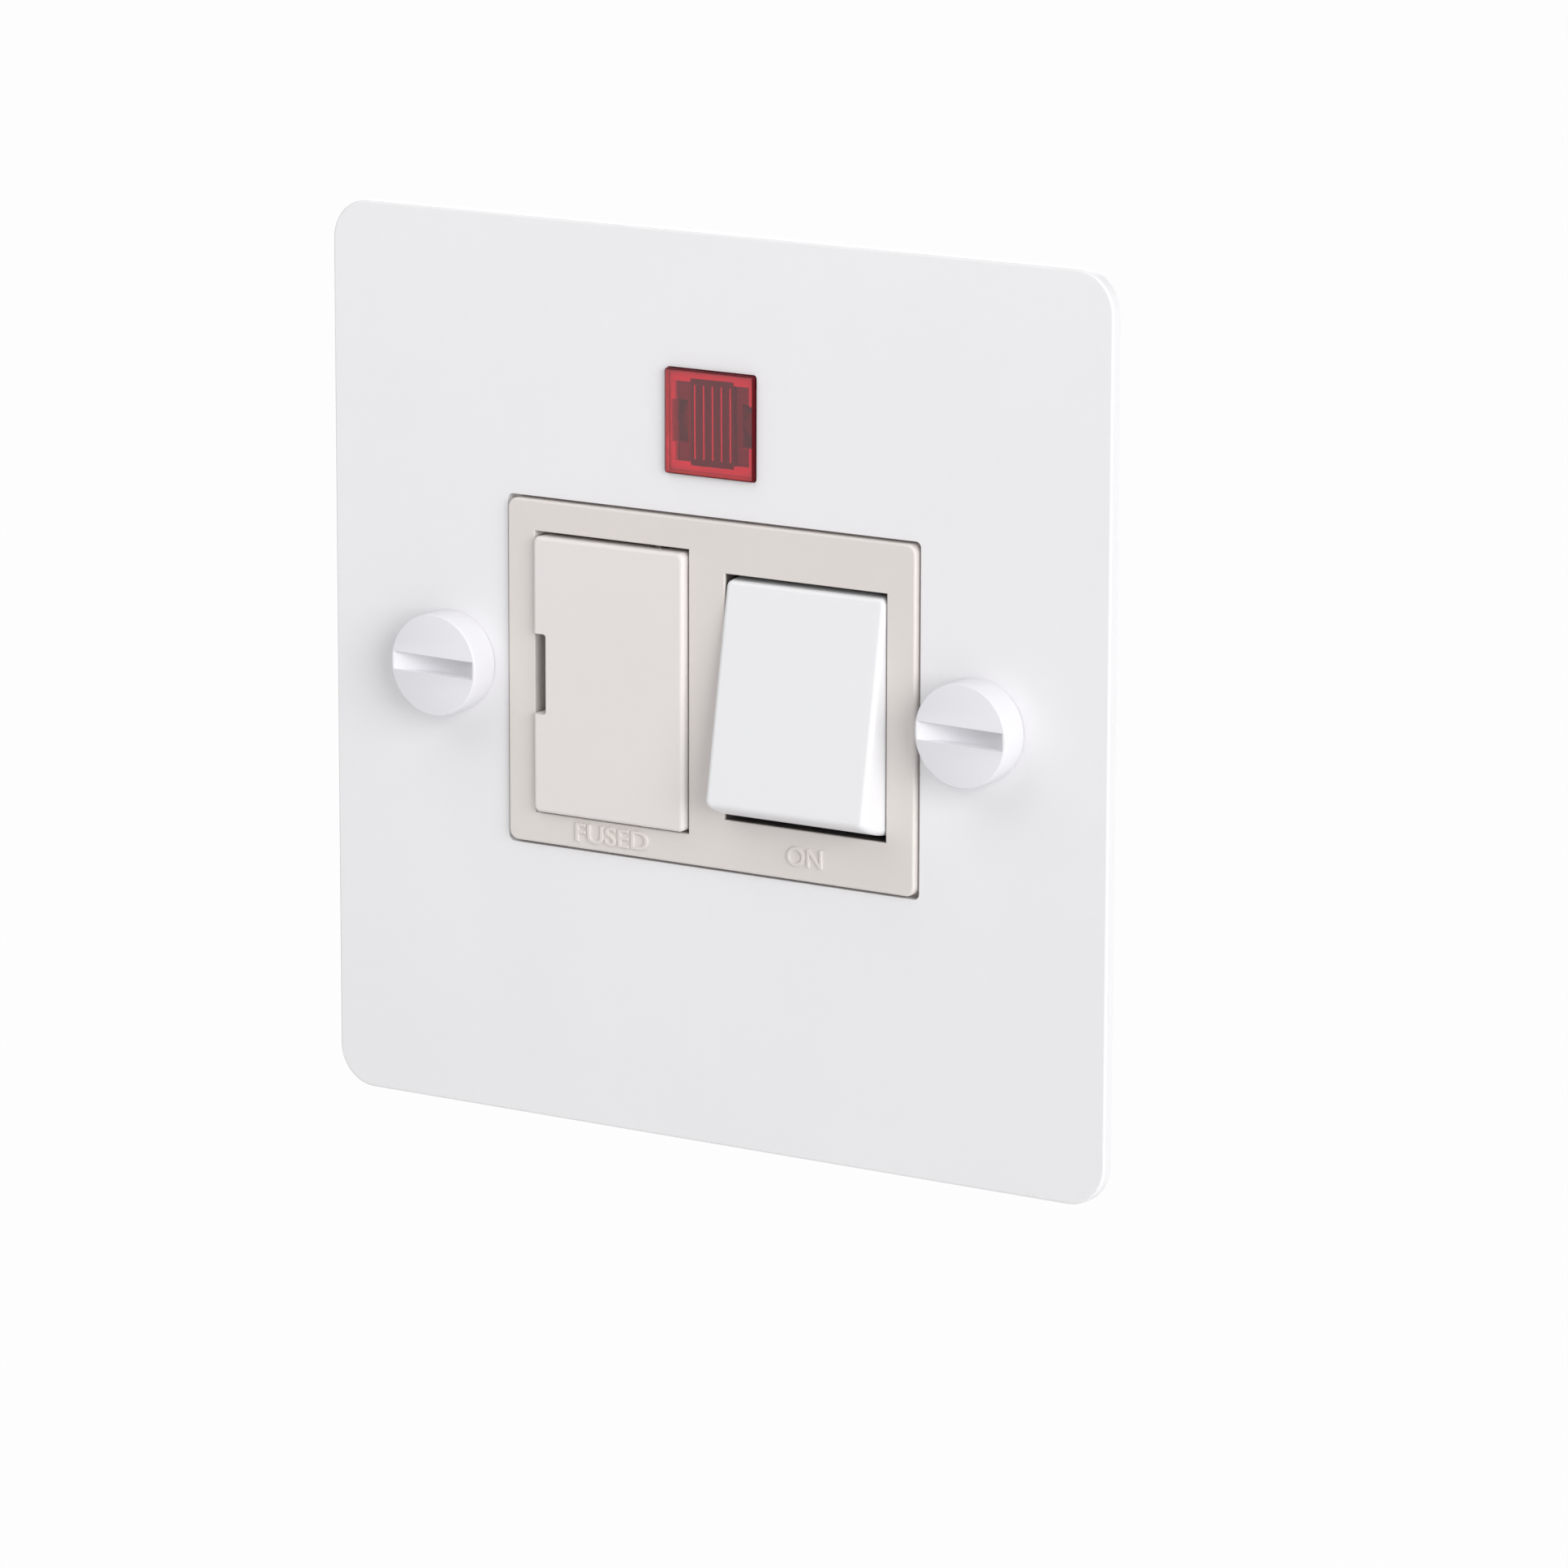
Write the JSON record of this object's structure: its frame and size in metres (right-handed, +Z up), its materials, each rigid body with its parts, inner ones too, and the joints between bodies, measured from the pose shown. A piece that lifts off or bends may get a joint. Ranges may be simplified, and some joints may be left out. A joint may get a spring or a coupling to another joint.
{
  "type": "switched fused connection unit",
  "caption": "Square white wall plate with a hinged fuse carrier, a tilting switch rocker and a red neon window, wired at screw terminals behind.",
  "frame": {"origin": "on the wall plane behind the plate, midway between the two fixing screws", "axes": "+X right across the plate, +Y into the wall, +Z up"},
  "size_m": [0.0886, 0.0275, 0.0886],
  "materials": {
    "plate_white": "smooth satin white coating on steel",
    "screw_white": "white coated screw head, plated shank",
    "bezel_grey": "fine satin moulding",
    "carrier_grey": "fine satin moulding",
    "rocker_white": "semi-gloss moulding",
    "housing_grey": "moulded thermoset",
    "lens_red": "clear red moulding",
    "lamp_glass": "smoked glass bulb",
    "clip_dark": "dark moulding",
    "brass": "pressed or turned brass",
    "steel": "zinc plated",
    "contact_silver": "silver contact button",
    "plunger_nylon": "natural nylon",
    "fuse_ceramic": "glazed ceramic tube",
    "fuse_cap_metal": "nickel plated cap",
    "lead_sleeve": "sleeved wire",
    "resistor_body": "lacquered film resistor"
  },
  "bodies": {
    "unit": {"front_plate": "plate_white", "fixing_screws": "screw_white", "plate_studs": "steel", "stud_nuts": "steel", "front_moulding": "bezel_grey", "rear_housing": "housing_grey", "housing_screws": "steel", "live_supply_terminal": "brass", "neutral_supply_terminal": "brass", "live_load_terminal": "brass", "neutral_load_terminal": "brass", "earth_supply_terminal": "brass", "earth_load_terminal": "brass", "terminal_screws": "steel", "live_supply_strap": "brass", "neutral_supply_strap": "brass", "live_link": "brass", "live_load_strap": "brass", "neutral_load_strap": "brass", "earth_strap": "brass", "fixed_contacts": "contact_silver", "neon_lens": "lens_red", "neon_lamp": "lamp_glass", "lamp_clip": "clip_dark", "neon_live_lead": "lead_sleeve", "neon_neutral_lead": "lead_sleeve", "neon_resistor": "resistor_body"},
    "rocker": {"rocker": "rocker_white", "rocker_plungers": "plunger_nylon", "plunger_springs": "steel"},
    "switch_levers": {"live_lever": "brass", "neutral_lever": "brass", "lever_contacts": "contact_silver"},
    "fuse_carrier": {"fuse_carrier": "carrier_grey", "fuse_tube": "fuse_ceramic", "fuse_caps": "fuse_cap_metal"}
  },
  "joints": [
    {"name": "rocker_tilt", "type": "hinge", "parent": "unit", "child": "rocker", "pos_m": [0.011, 0.00065, 0], "axis": [1, 0, 0], "range_deg": [0, 20]},
    {"name": "lever_rock", "type": "hinge", "parent": "unit", "child": "switch_levers", "pos_m": [0.011, 0.00995, 0], "axis": [1, 0, 0], "range_deg": [-20, 0]},
    {"name": "fuse_carrier_swing", "type": "hinge", "parent": "unit", "child": "fuse_carrier", "pos_m": [-0.00609, -0.001, 0], "axis": [0, 0, 1], "range_deg": [0, 75]}
  ],
  "couplings": [
    {"joint": "lever_rock", "follows": "rocker_tilt", "ratio": -1}
  ]
}
